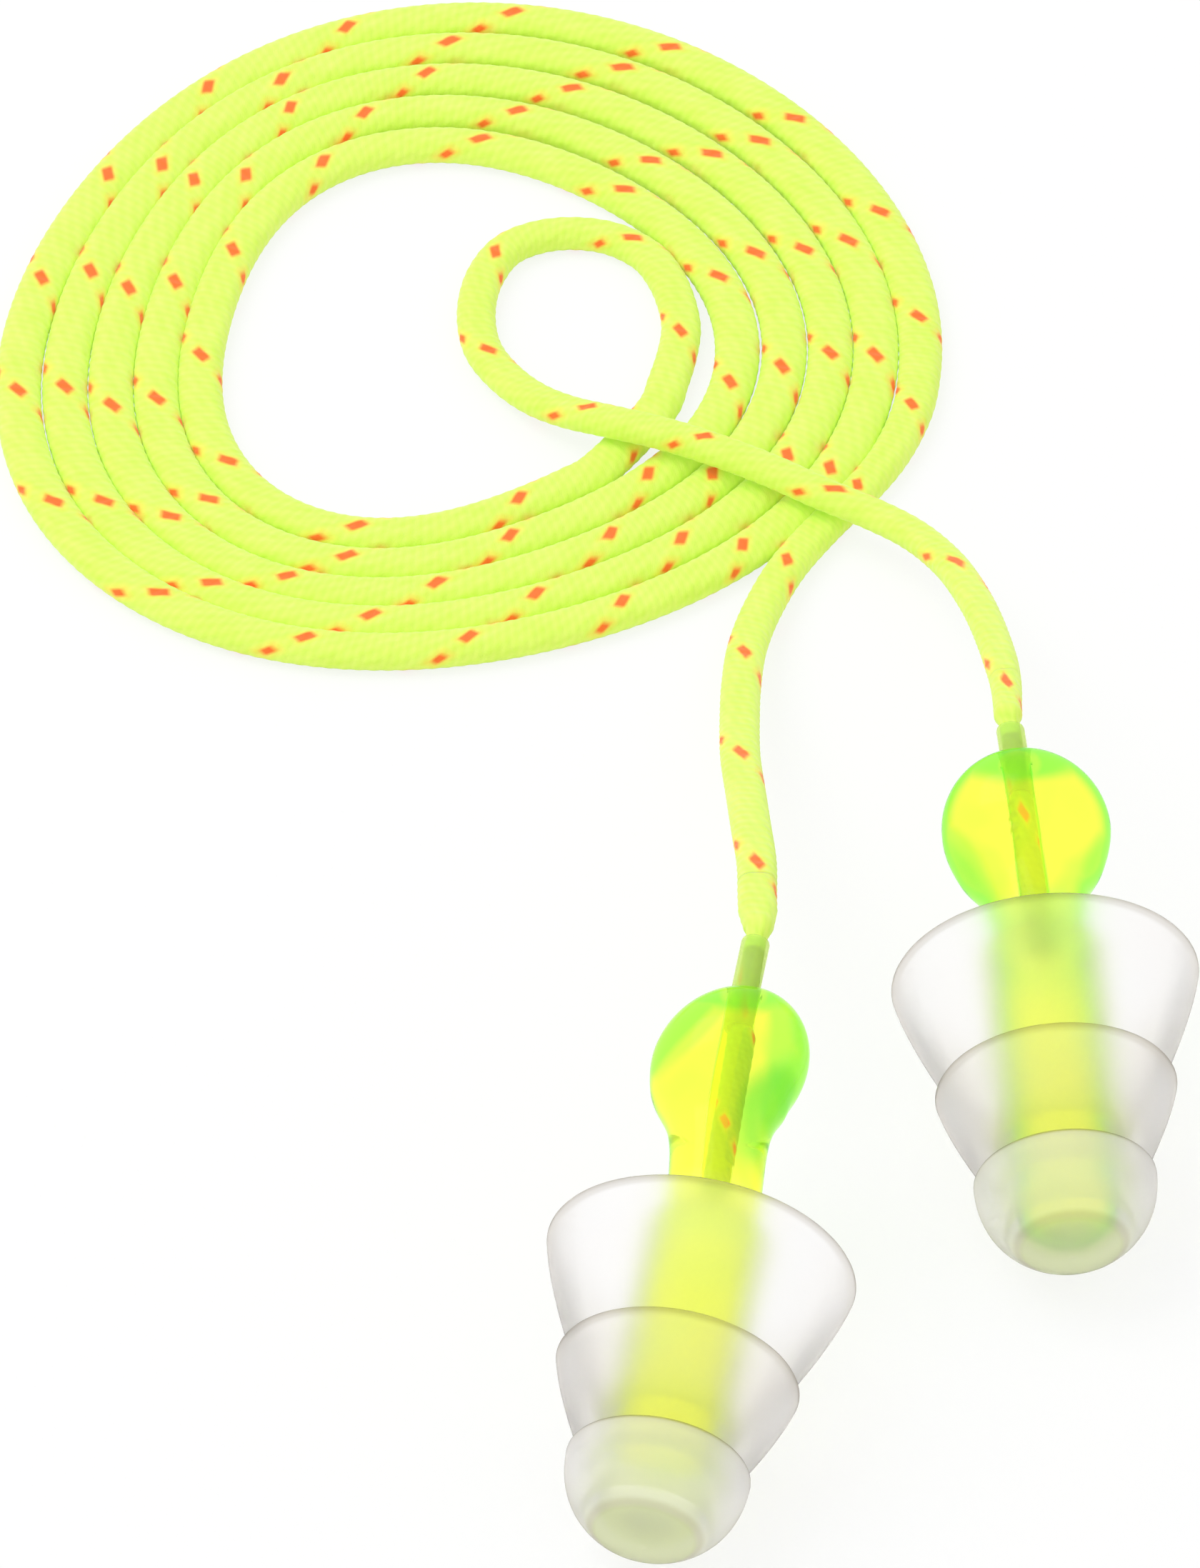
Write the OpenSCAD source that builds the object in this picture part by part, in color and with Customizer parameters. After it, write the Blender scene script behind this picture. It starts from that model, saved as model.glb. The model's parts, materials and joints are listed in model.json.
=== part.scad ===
// Pair of reusable flanged ear plugs on a braided neck cord, laid down with the cord coiled.
// Millimetres. +Z up, +X right, +Y away from the noses. The origin is on the table, under the
// middle of the two plugs. Each plug is built along its own Z axis, with the middle of the
// first rim at the origin, the grip above it and the nose below it, and is then laid down.

/* [Tip] */
// Outside diameter of the first, widest flange
flange_1_d = 13; // [12:0.1:14]
// Outside diameter of the middle flange
flange_2_d = 10.2; // [9.8:0.1:10.6]
// Outside diameter of the last flange
flange_3_d = 7.7; // [7.4:0.1:8.2]
// Distance from the first rim to the middle rim
flange_2_pos = 5.6; // [5.4:0.1:6]
// Distance from the first rim to the last rim
flange_3_pos = 10.1; // [9.8:0.1:10.4]
// Wall of the three thin flanges
flange_wall = 0.4; // [0.3:0.05:0.5]
// Length of the first flange, from its rim to its root on the core
flange_1_len = 8.8; // [8:0.1:9.2]
// Length of the middle flange, from its rim to its root on the core
flange_2_len = 5.6; // [5:0.1:6]
// Depth of the hollow under the last flange, as a share of the nose's length
nose_hollow_ratio = 0.675; // [0.6:0.005:0.7]
// Outside diameter of the core tube that carries the flanges
core_d = 5.2; // [5:0.1:5.4]
// How far the core tube stands out behind the first rim
core_back = 1.35; // [0.8:0.05:1.8]
// Solid nose beyond the end of the stem's hole
nose_wall = 1.5; // [1.2:0.1:2]

/* [Grip] */
// Diameter of the grip's flattened bulb
bulb_d = 7.2; // [6.8:0.1:7.6]
// Thickness of the bulb
bulb_t = 5.9; // [5.4:0.1:6.4]
// How far the bulb's flat sides lean over from the stem, in degrees
bulb_lean = 42; // [30:1:50]
// Diameter of the stem and the neck
stem_d = 4; // [3.6:0.1:4.2]
// Gap between the stem and its hole, on the radius
stem_gap = 0.02; // [0.01:0.01:0.1]
// Length of the stem, from the middle of the bulb to its end
stem_len = 19.9; // [19:0.1:20.6]
// Gap between the deeper stem's end and the end of its hole
stem_end_gap = 0.3; // [0.1:0.05:0.5]
// Radius of the hollow curve between bulb and neck
neck_curve_r = 2.6; // [1.5:0.1:3]
// Distance from the first rim back to the neck's bend
neck_bend_pos = 2.5; // [2:0.1:2.8]

/* [Sleeve and cord] */
// Outside diameter of the sleeve on the cord's end
sleeve_d = 1.2; // [1.1:0.05:1.4]
// Hole through the sleeve
sleeve_hole_d = 0.9; // [0.7:0.05:1]
// How deep the sleeve is set in the bulb
sleeve_seat = 1.5; // [1:0.1:2.5]
// Gap between the pieces that are glued into the grip, on the radius
glue_gap = 0.02; // [0.01:0.01:0.05]
// Width of the flat braided cord
cord_w = 1.9; // [1.6:0.1:2]
// Thickness of the flat braided cord
cord_t = 1.2; // [1:0.1:1.4]
// How deep the cord goes into the grip, from the middle of the bulb
cord_depth = 6.5; // [4:0.1:7]
// Running gap at each plug's bending point
bend_gap = 0.05; // [0.03:0.01:0.1]

/* [Left plug] */
// Middle of the left plug's first rim, on the table
left_middle = [-7.3, -8.3]; // [-20:0.1:20]
// Turn of the left plug on the table, in degrees
left_turn = -10.5; // [-30:0.5:30]
// Distance from the first rim back to the middle of the left bulb
left_bulb_pos = 9.9; // [7.6:0.1:10.2]
// Sideways bend of the left neck, in degrees
left_bend = -4.4; // [-6:0.1:6]
// Turn of the left grip in its tip, in degrees
left_roll = 0; // [-180:1:180]
// Sideways lean of the left sleeve, in degrees
left_sleeve_lean = 0; // [-4:0.1:4]
// How far the left sleeve stands out of the bulb
left_sleeve_out = 3.1; // [1.5:0.1:3.5]

/* [Right plug] */
// Middle of the right plug's first rim, on the table
right_middle = [7.2, 9.3]; // [-20:0.1:20]
// Turn of the right plug on the table, in degrees
right_turn = 4; // [-30:0.5:30]
// Distance from the first rim back to the middle of the right bulb
right_bulb_pos = 7.6; // [7.6:0.1:10.2]
// Sideways bend of the right neck, in degrees
right_bend = -1.8; // [-6:0.1:6]
// Turn of the right grip in its tip, in degrees
right_roll = -90; // [-180:1:180]
// Sideways lean of the right sleeve, in degrees
right_sleeve_lean = -2.7; // [-4:0.1:4]
// How far the right sleeve stands out of the bulb
right_sleeve_out = 2.1; // [1.5:0.1:3.5]

/* [Coil] */
// Turns in the coil
turns = 5; // [4:1:5]
// Radius of the outermost turn, to the middle of the cord
coil_r = 20.4; // [20.4:0.1:22]
// Step from one turn to the next
turn_step = 2.02; // [2:0.01:2.1]

/* [Hidden] */
$fn = 96;

core_r = core_d / 2;
stem_r = stem_d / 2;
bulb_r = bulb_d / 2;
sleeve_r = sleeve_d / 2;
hole_pos = stem_len - min(left_bulb_pos, right_bulb_pos) + stem_end_gap;
nose_pos = hole_pos + nose_wall;
nose_len = nose_pos - flange_3_pos;
nose_hollow = nose_len * nose_hollow_ratio;
// How deep the core is rooted in the solid nose
core_root = flange_wall / 4;

// Fullness of a flange's curve and of the nose's: 2 and 2 is a quarter of an ellipse
flange_full = [1.25, 1.05];
nose_full = [2.3, 2];
curve_steps = 10;

// From the bulb's middle to its top, where the sleeve comes out
bulb_top = (bulb_r + bulb_t / 2) / 2;
// How much the neck swells where it bends
bend_swell = 0.05;

// What one plug's list holds, in this order
MIDDLE = 0;
TURN = 1;
BULB_POS = 2;
BEND = 3;
ROLL = 4;
SLEEVE_LEAN = 5;
SLEEVE_OUT = 6;
LEFT = [left_middle, left_turn, left_bulb_pos, left_bend, left_roll, left_sleeve_lean,
    left_sleeve_out];
RIGHT = [right_middle, right_turn, right_bulb_pos, right_bend, right_roll, right_sleeve_lean,
    right_sleeve_out];

// Points of a curve that starts at radius r at place 0 and falls to radius r_end at place len,
// as [radius, -place]
function fall(r, r_end, len, full) = [for (i = [0 : curve_steps])
    let (a = 90 * i / curve_steps)
    [r_end + (r - r_end) * pow(cos(a), 2 / full[1]), -len * pow(sin(a), 2 / full[0])]];

function nose_curve() = fall(flange_3_d / 2, 0, nose_len, nose_full);

// A plug rests on its first rim and on the last flange, which settles its tilt
tilt = min([for (p = nose_curve()) atan2(flange_1_d / 2 - p[0], flange_3_pos - p[1])]);
lift = max([for (p = fall(flange_1_d / 2, core_r, flange_1_len, flange_full))
    p[0] * cos(tilt) - p[1] * sin(tilt)]);

module revolve(curve) rotate_extrude() polygon(concat([[0, 0]], curve, [[0, curve[len(curve) - 1][1]]]));

module flange(pos, r, r_end, len, hollow, full) translate([0, 0, -pos])
    difference() {
        revolve(fall(r, r_end, len, full));
        translate([0, 0, flange_wall / 2])
            revolve(concat([[r - flange_wall, 0]],
                [for (p = fall(r - flange_wall, core_r, hollow, flange_full)) p - [0, flange_wall / 2]]));
    }

module tip() color([0.94, 0.93, 0.9]) difference() {
    union() {
        flange(0, flange_1_d / 2, core_r, flange_1_len, flange_1_len - flange_wall, flange_full);
        flange(flange_2_pos, flange_2_d / 2, core_r, flange_2_len, flange_2_len - flange_wall, flange_full);
        flange(flange_3_pos, flange_3_d / 2, 0, nose_len, nose_hollow, nose_full);
        translate([0, 0, -flange_3_pos - nose_hollow - core_root])
            cylinder(r = core_r, h = flange_3_pos + nose_hollow + core_root + core_back);
    }
    translate([0, 0, -hole_pos]) cylinder(r = stem_r + stem_gap, h = hole_pos + core_back + 1);
}

// Moves to the neck's bend and turns with the neck
module at_bend(plug) translate([0, 0, neck_bend_pos]) rotate([0, plug[BEND], 0]) children();

// Moves to the middle of the bulb, in line with the sleeve
module at_bulb(plug) at_bend(plug) translate([0, 0, plug[BULB_POS] - neck_bend_pos])
    rotate([0, plug[SLEEVE_LEAN] - plug[BEND], 0]) children();

module grip(plug) color([0.8, 0.95, 0.2]) difference() {
    neck_len = plug[BULB_POS] - neck_bend_pos;
    union() {
        translate([0, 0, plug[BULB_POS] - stem_len]) cylinder(r = stem_r, h = stem_len - neck_len);
        at_bend(plug) {
            sphere(r = stem_r + bend_swell);
            neck(neck_len);
            translate([0, 0, neck_len]) rotate([0, 0, plug[ROLL]]) rotate([0, 90 + bulb_lean, 0]) bulb();
        }
    }
    at_bulb(plug) translate([0, 0, -cord_depth])
        cylinder(r = sleeve_r + glue_gap, h = cord_depth + bulb_d);
}

// The bulb about its short axis: half an ellipse, turned
module bulb() rotate_extrude() polygon([for (i = [0 : 2 * curve_steps])
    let (a = 90 * i / curve_steps - 90) [bulb_r * cos(a), bulb_t / 2 * sin(a)]]);

// The neck and the hollow curve that leads to the bulb, whose middle is at height len
module neck(len) {
    drop = sqrt(pow(bulb_top + neck_curve_r, 2) - pow(stem_r + neck_curve_r, 2));
    touch = atan2(drop, stem_r + neck_curve_r);
    rotate_extrude() polygon(concat(
        [[0, 0], [stem_r, 0]],
        [for (i = [0 : curve_steps]) let (a = touch * i / curve_steps)
            [stem_r + neck_curve_r * (1 - cos(a)), len - drop + neck_curve_r * sin(a)]],
        [[0, len - bulb_top * sin(touch)]]));
}

module sleeve(plug) color([0.75, 0.88, 0.4]) at_bulb(plug) difference() {
    translate([0, 0, bulb_top - sleeve_seat]) cylinder(r = sleeve_r, h = sleeve_seat + plug[SLEEVE_OUT]);
    cylinder(r = sleeve_hole_d / 2, h = 2 * bulb_d);
}

// The cord's end: full in the grip, squeezed thin in the sleeve
module cord_end(plug) color([0.85, 1, 0.35]) at_bulb(plug) {
    translate([0, 0, -cord_depth + glue_gap])
        cylinder(r = sleeve_r, h = cord_depth + bulb_top - sleeve_seat - 2 * glue_gap);
    translate([0, 0, bulb_top - sleeve_seat - 3 * glue_gap])
        cylinder(r = sleeve_hole_d / 2 - glue_gap, h = sleeve_seat + plug[SLEEVE_OUT] + 3 * glue_gap);
}

// Lays a plug down on its rims
module laid(plug) translate([plug[MIDDLE][0], plug[MIDDLE][1], lift]) rotate([0, 0, plug[TURN]])
    rotate([tilt - 90, 0, 0]) children();

// The same for a point
function turn_z(p, a) = [p[0] * cos(a) - p[1] * sin(a), p[0] * sin(a) + p[1] * cos(a), p[2]];
function lay(p, plug) = let (c = cos(tilt - 90), s = sin(tilt - 90))
    [plug[MIDDLE][0], plug[MIDDLE][1], lift]
        + turn_z([p[0], p[1] * c - p[2] * s, p[1] * s + p[2] * c], plug[TURN]);

// Where a plug bends on its cord: just outside the sleeve's mouth
function bend_point(plug) = let (bent = plug[BEND], lean = plug[SLEEVE_LEAN],
        far = bulb_top + plug[SLEEVE_OUT] + sleeve_r + bend_gap)
    lay([0, 0, neck_bend_pos] + (plug[BULB_POS] - neck_bend_pos) * [sin(bent), 0, cos(bent)]
        + far * [sin(lean), 0, cos(lean)], plug);

// The middle of the coiled cord at a turn angle, counted from the +X side of the outermost turn.
// The turns are oval, slant a little, and their middle drifts as they close in. Each pair is a
// value at the outermost turn and at the innermost.
coil_middle = [[-17.9, 58.3], [-18.4, 57.9]];
oval_ratio = [1.12, 1.19];
slant_ratio = 0.035;
cos_wave_ratio = [0.01, 0.055];
sin_wave_ratio = [-0.025, -0.02];
function mix(pair, t) = pair[0] + (pair[1] - pair[0]) * t;
function coil_at(a) =
    let (t = a / 360 / turns, middle = mix(coil_middle, t), r = coil_r - turn_step * a / 360,
        bent = r * (1 + slant_ratio * sin(2 * a) + mix(cos_wave_ratio, t) * cos(3 * a)
            + mix(sin_wave_ratio, t) * sin(3 * a)))
    [middle[0] + bent * cos(a), middle[1] + bent * mix(oval_ratio, t) * sin(a), cord_t / 2];
coil_start = -12;
coil_end = 360 * turns - 45;
coil_step = 10;

function unit(v) = v / norm(v);
function coil_way(a) = unit(coil_at(a + 1) - coil_at(a - 1));
// A point beside the coiled cord: side 1 is outside, -1 inside
function coil_side(a, side) = let (w = coil_way(a), p = coil_at(a))
    [p[0] + side * cord_w / 2 * w[1], p[1] - side * cord_w / 2 * w[0]];

module cord_coil() color([0.85, 1, 0.35]) linear_extrude(cord_t) difference() {
    polygon(concat([coil_side(coil_start, -1)],
        [for (a = [coil_start : coil_step : coil_start + 360]) coil_side(a, 1)]));
    polygon(concat([for (a = [coil_end - 360 : coil_step : coil_end]) coil_side(a, -1)],
        [coil_side(coil_end, 1)]));
}

// Routes of the cord where it isn't coiled, chosen by hand from the photograph
left_route = [[1.2, 50.3, 0.6], [-0.2, 47.8, 0.6], [-1.8, 45.4, 0.6], [-3.3, 42.7, 0.7],
    [-4.4, 39.6, 1], [-5.1, 36.2, 1.7], [-5.4, 32.5, 2.7], [-5.5, 28.8, 3.8], [-5.5, 25, 5.1],
    [-5.3, 21, 6.5], [-5.1, 17.1, 7.9], [-4.9, 13.6, 9], [-4.9, 10.4, 9.8]];
right_route = [[-8.9, 53.8, 0.6], [-8.5, 55.4, 0.6], [-8.1, 57.3, 0.6], [-7.9, 59.2, 0.6],
    [-8.1, 61, 0.6], [-8.6, 62.8, 0.6], [-9.4, 64.3, 0.6], [-10.9, 65.5, 0.6], [-12.5, 65.9, 0.6],
    [-14.1, 65.7, 0.6], [-15.6, 64.8, 0.6], [-16.6, 62.9, 0.6], [-17, 60.4, 0.6], [-16.7, 57.8, 0.6],
    [-15.7, 55.7, 0.7], [-14.4, 54, 0.9], [-12.9, 52.6, 1.3], [-11.2, 51.4, 1.8], [-8.8, 50.3, 2],
    [-6.5, 49.2, 2], [-4.1, 47.8, 2], [-1.8, 46.2, 2], [0.4, 44.8, 2], [2.1, 43.1, 2.3],
    [3.6, 40.1, 3.2], [4.7, 35.7, 4.8], [5.4, 30.9, 6.6], [5.8, 26.1, 8.4]];

// A flat cord's tube along a route, one ring at each point, with a round end at the last
sides = 8;
taper_len = 6;
round_steps = [0, 35, 60, 85];
module cord_tube(route) {
    last = len(route) - 1;
    end_way = unit(route[last] - route[last - 1]);
    points = concat(route, [for (a = round_steps) if (a > 0) route[last] + end_way * sleeve_r * sin(a)]);
    far = [for (p = points) norm(p - route[last])];
    rings = [for (i = [0 : len(points) - 1])
        let (way = unit(points[min(i + 1, len(points) - 1)] - points[max(i - 1, 0)]),
            across = unit(cross(way, [0, 0, 1])), over = cross(across, way),
            grow = i > last ? 0 : min(1, far[i] / taper_len),
            shrink = i > last ? cos(round_steps[i - last]) : 1)
        [for (k = [0 : sides - 1]) let (a = 360 * k / sides)
            points[i] + across * cos(a) * mix([sleeve_r, cord_w / 2], grow) * shrink
                + over * sin(a) * mix([sleeve_r, cord_t / 2], grow) * shrink]];
    n = len(rings);
    polyhedron([for (r = rings) each r], concat(
        [[for (k = [sides - 1 : -1 : 0]) k]],
        [for (i = [0 : n - 2], k = [0 : sides - 1]) let (next = (k + 1) % sides)
            [i * sides + k, i * sides + next, (i + 1) * sides + next, (i + 1) * sides + k]],
        [[for (k = [0 : sides - 1]) (n - 1) * sides + k]]));
}

module cord_left_tail() color([0.85, 1, 0.35])
    cord_tube(concat([coil_at(coil_start)], left_route, [bend_point(LEFT)]));
module cord_right_tail() color([0.85, 1, 0.35])
    cord_tube(concat([coil_at(coil_end)], right_route, [bend_point(RIGHT)]));

laid(LEFT) tip();  // left_tip
laid(RIGHT) tip();  // right_tip
laid(LEFT) grip(LEFT);  // left_grip
laid(RIGHT) grip(RIGHT);  // right_grip
laid(LEFT) sleeve(LEFT);  // left_sleeve
laid(RIGHT) sleeve(RIGHT);  // right_sleeve
laid(LEFT) cord_end(LEFT);  // left_cord_end
laid(RIGHT) cord_end(RIGHT);  // right_cord_end
cord_coil();
cord_left_tail();
cord_right_tail();
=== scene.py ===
"""Pair of corded flanged ear plugs. Metres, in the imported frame: +Z up, +Y towards the coiled cord."""
import json
import math

import bpy
import numpy as np
from mathutils import Matrix, Vector
from mathutils.bvhtree import BVHTree


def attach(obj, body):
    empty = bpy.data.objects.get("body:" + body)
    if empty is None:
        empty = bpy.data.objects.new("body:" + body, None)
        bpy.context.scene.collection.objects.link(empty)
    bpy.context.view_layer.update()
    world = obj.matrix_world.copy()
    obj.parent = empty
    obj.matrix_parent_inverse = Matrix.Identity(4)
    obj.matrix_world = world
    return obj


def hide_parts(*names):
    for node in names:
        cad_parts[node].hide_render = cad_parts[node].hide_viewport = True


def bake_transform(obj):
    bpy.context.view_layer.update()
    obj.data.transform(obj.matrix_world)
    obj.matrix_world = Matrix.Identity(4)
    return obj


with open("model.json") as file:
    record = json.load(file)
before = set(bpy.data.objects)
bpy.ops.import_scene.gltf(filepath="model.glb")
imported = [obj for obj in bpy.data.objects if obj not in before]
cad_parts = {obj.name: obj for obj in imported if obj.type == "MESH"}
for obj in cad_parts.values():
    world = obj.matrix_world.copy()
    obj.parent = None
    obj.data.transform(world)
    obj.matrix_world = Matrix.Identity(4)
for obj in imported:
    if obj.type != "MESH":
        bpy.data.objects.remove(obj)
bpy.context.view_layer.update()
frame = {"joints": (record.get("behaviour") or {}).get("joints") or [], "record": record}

MM = 0.001
MOUNTS = {m["name"]: m for m in frame["record"]["mounts"]}
JOINTS = {j["name"]: j for j in frame["joints"]}
SIDES = ("left", "right")

# Image points, in the photograph's frame scaled to a long side of 1568
W, H = 1200, 1568
POINTS = {
    "left_tip_rim_1_left": (547, 1243), "left_tip_rim_1_right": (856, 1288),
    "left_tip_rim_2_left": (556, 1359), "left_tip_rim_2_right": (800, 1395),
    "left_tip_nose_bottom": (659, 1564), "left_grip_left": (650, 1080),
    "right_tip_rim_1_left": (891, 992), "right_tip_rim_1_right": (1199, 971),
    "right_tip_rim_2_right": (1177, 1084), "right_tip_nose_bottom": (1067, 1275),
    "right_grip_top": (1022, 747),
    "left_fleck_1": (787, 558), "left_fleck_2": (744, 651), "left_fleck_3": (741, 752),
    "left_fleck_4": (757, 862),
    "right_fleck_1": (703, 436), "right_fleck_2": (834, 488), "right_fleck_3": (955, 560),
    "right_fleck_4": (1007, 682),
}

# ---------------------------------------------------------------- camera
LENS, SENSOR = 400, 36
CAMERA_TILT = math.radians(41)
CAMERA_AIM = Vector((-11.5, 29.1, 0)) * MM
CAMERA_FAR = 751.2 * MM


def make_camera():
    """The camera that took the photograph."""
    data = bpy.data.cameras.new("camera")
    data.lens, data.sensor_width, data.sensor_fit = LENS, SENSOR, "AUTO"
    data.clip_start, data.clip_end = 0.01, 10
    camera = bpy.data.objects.new("camera", data)
    bpy.context.scene.collection.objects.link(camera)
    back = Vector((0, -math.cos(CAMERA_TILT), math.sin(CAMERA_TILT)))
    right = Vector((1, 0, 0))
    turn = Matrix((right, back.cross(right), back)).transposed().to_4x4()
    camera.matrix_world = Matrix.Translation(CAMERA_AIM + back * CAMERA_FAR) @ turn
    bpy.context.scene.camera = camera
    return camera


camera = make_camera()


def ray_of(point):
    """Start and direction of the camera's ray through an image point."""
    long_side = max(W, H)
    x, y = point
    shift_x, shift_y = camera.data.shift_x, camera.data.shift_y
    way = Vector((x - W / 2 + shift_x * long_side, H / 2 - y + shift_y * long_side,
                  -long_side * LENS / SENSOR))
    turn = camera.matrix_world.to_3x3()
    return camera.matrix_world.translation.copy(), (turn @ way).normalized()


def image_of(place):
    """The image point where a place shows."""
    p = camera.matrix_world.inverted() @ Vector(place)
    scale = max(W, H) * LENS / SENSOR / -p.z
    return W / 2 + p.x * scale, H / 2 - p.y * scale


def place_at(point, tree, places):
    """Where the camera's ray through an image point meets a piece, or the place nearest the ray."""
    start, way = ray_of(point)
    hit = tree.ray_cast(start, way)[0]
    if hit is not None:
        return hit
    miss = np.linalg.norm(np.cross(np.array(places) - np.array(start), np.array(way)), axis=1)
    return Vector(places[int(np.argmin(miss))])


# ---------------------------------------------------------------- meshes
def add_mesh(name, points, faces, uvs=None):
    """A smooth mesh object: points in metres, faces as lists of points, uvs one pair for each face corner."""
    mesh = bpy.data.meshes.new(name)
    mesh.from_pydata([tuple(p) for p in points], [], faces)
    mesh.polygons.foreach_set("use_smooth", [True] * len(mesh.polygons))
    if uvs is not None:
        mesh.uv_layers.new(name="along").data.foreach_set("uv", np.asarray(uvs, dtype=np.float32).ravel())
    mesh.update()
    obj = bpy.data.objects.new(name, mesh)
    bpy.context.scene.collection.objects.link(obj)
    return obj


def tube_faces(n_rings, n):
    """The faces between rings of n points each, ring after ring."""
    i, k = np.meshgrid(np.arange(n_rings - 1), np.arange(n), indexing="ij")
    after = (k + 1) % n
    faces = np.stack([i * n + k, i * n + after, (i + 1) * n + after, (i + 1) * n + k], axis=-1)
    return [tuple(face) for face in faces.reshape(-1, 4).tolist()]


def rings_mesh(name, rings, uv_rings=None, v_rings=None):
    """Joins rings of points into a closed tube. uv_rings gives u for each ring, and v runs once round it,
    or has a value for each ring too."""
    n_rings, n = rings.shape[:2]
    uvs = None
    if uv_rings is not None:
        i, k = np.meshgrid(np.arange(n_rings - 1), np.arange(n), indexing="ij")
        u0, u1 = uv_rings[i], uv_rings[i + 1]
        v0, v1, v2, v3 = k / n, (k + 1) / n, (k + 1) / n, k / n
        v_ends = (0.5, 0.5)
        if v_rings is not None:
            v0, v1, v2, v3 = v_rings[i], v_rings[i], v_rings[i + 1], v_rings[i + 1]
            v_ends = (v_rings[0], v_rings[-1])
        uvs = np.stack([u0, v0, u0, v1, u1, v2, u1, v3], axis=-1).reshape(-1, 2)
        uvs = np.concatenate([uvs, [[uv_rings[0], v_ends[0]]] * n, [[uv_rings[-1], v_ends[1]]] * n])
    faces = tube_faces(n_rings, n)
    faces += [tuple(range(n - 1, -1, -1)), tuple(range((n_rings - 1) * n, n_rings * n))]
    return add_mesh(name, rings.reshape(-1, 3), faces, uvs)


# ---------------------------------------------------------------- where each plug lies
# Heights in mm along a plug's axis from its first rim: the nose's depth, and where the grip's neck bends
NOSE_POS, NECK_POS = 14.1, 2.5


def plug_frame(side):
    """The plug's own axes: Z towards the grip, X level, the middle of the first rim at the origin."""
    mount = MOUNTS[side + "_ear"]
    z = -Vector(mount["axis"]).normalized()
    x = z.cross(Vector((0, 0, 1))).normalized()
    y = z.cross(x)
    start = Vector(mount["pos_m"]) + z * NOSE_POS * MM
    return Matrix.Translation(start) @ Matrix((x, y, z)).transposed().to_4x4()


PLUG = {side: plug_frame(side) for side in SIDES}


# ---------------------------------------------------------------- the cord's path
# The same route as in the CAD part, in mm. Angles are in degrees, and pairs are the coil's start and end
COIL_MIDDLE = np.array([-17.9, 58.3]), np.array([-18.4, 57.9])
COIL_R, TURN_STEP, TURNS = 20.4, 2.02, 5
COIL_START, COIL_END, COIL_STEP = -12, 360 * TURNS - 45, 6
# How the coil departs from a round one
COIL_SLANT, COIL_BULGE, COIL_SKEW, COIL_LONG = 0.035, (0.01, 0.055), (0.025, 0.02), (1.12, 1.19)
LIE = 0.6


def mix(a, b, t):
    return a + (b - a) * t


def coil_at(angle):
    """The middle of the coiled cord at a turn angle, as part.scad has it."""
    t = angle / 360 / TURNS
    a = math.radians(angle)
    centre = mix(*COIL_MIDDLE, t)
    bent = (COIL_R - TURN_STEP * angle / 360) * (
        1 + COIL_SLANT * math.sin(2 * a) + mix(*COIL_BULGE, t) * math.cos(3 * a)
        - mix(*COIL_SKEW, t) * math.sin(3 * a))
    return [centre[0] + bent * math.cos(a), centre[1] + bent * mix(*COIL_LONG, t) * math.sin(a), LIE]


LEFT_ROUTE = [(1.2, 50.3, 0.6), (-0.2, 47.8, 0.6), (-1.8, 45.4, 0.6), (-3.3, 42.7, 0.7), (-4.4, 39.6, 1),
              (-5.1, 36.2, 1.7), (-5.4, 32.5, 2.7), (-5.5, 28.8, 3.8), (-5.5, 25, 5.1), (-5.3, 21, 6.5),
              (-5.1, 17.1, 7.9), (-4.9, 13.6, 9), (-4.9, 10.4, 9.8)]
RIGHT_ROUTE = [(-8.9, 53.8, 0.6), (-8.5, 55.4, 0.6), (-8.1, 57.3, 0.6), (-7.9, 59.2, 0.6),
               (-8.1, 61, 0.6), (-8.6, 62.8, 0.6), (-9.4, 64.3, 0.6), (-10.9, 65.5, 0.6),
               (-12.5, 65.9, 0.6), (-14.1, 65.7, 0.6), (-15.6, 64.8, 0.6), (-16.6, 62.9, 0.6),
               (-17, 60.4, 0.6), (-16.7, 57.8, 0.6), (-15.7, 55.7, 0.7), (-14.4, 54, 0.9),
               (-12.9, 52.6, 1.3), (-11.2, 51.4, 1.8), (-8.8, 50.3, 2), (-6.5, 49.2, 2), (-4.1, 47.8, 2),
               (-1.8, 46.2, 2), (0.4, 44.8, 2), (2.1, 43.1, 2.3), (3.6, 40.1, 3.2), (4.7, 35.7, 4.8),
               (5.4, 30.9, 6.6), (5.8, 26.1, 8.4)]
PIVOT = {side: np.array(JOINTS[side + "_plug_lift"]["pos_m"]) / MM for side in SIDES}
RING_STEP, STEPS_A_POINT = 0.12, 24


def smooth_line(points, step):
    """Places step apart along a smooth curve through the points, and how far along it each is."""
    p = np.array(points, dtype=float)
    p = np.vstack([2 * p[0] - p[1], p, 2 * p[-1] - p[-2]])
    t = np.linspace(0, 1, STEPS_A_POINT, endpoint=False)[:, None]
    fine = []
    for i in range(1, len(p) - 2):
        before, here, after = [math.sqrt(np.linalg.norm(p[i + k] - p[i + k - 1])) for k in (0, 1, 2)]
        out = ((p[i] - p[i - 1]) / before - (p[i + 1] - p[i - 1]) / (before + here)
               + (p[i + 1] - p[i]) / here) * here
        into = ((p[i + 1] - p[i]) / here - (p[i + 2] - p[i]) / (here + after)
                + (p[i + 2] - p[i + 1]) / after) * here
        fine.append((2 * t**3 - 3 * t**2 + 1) * p[i] + (t**3 - 2 * t**2 + t) * out
                    + (3 * t**2 - 2 * t**3) * p[i + 1] + (t**3 - t**2) * into)
    fine = np.vstack(fine + [p[-2][None]])
    far = np.concatenate([[0], np.cumsum(np.linalg.norm(np.diff(fine, axis=0), axis=1))])
    at = np.linspace(0, far[-1], int(round(far[-1] / step)) + 1)
    return np.stack([np.interp(at, far, fine[:, k]) for k in range(3)], axis=1), at


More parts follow.
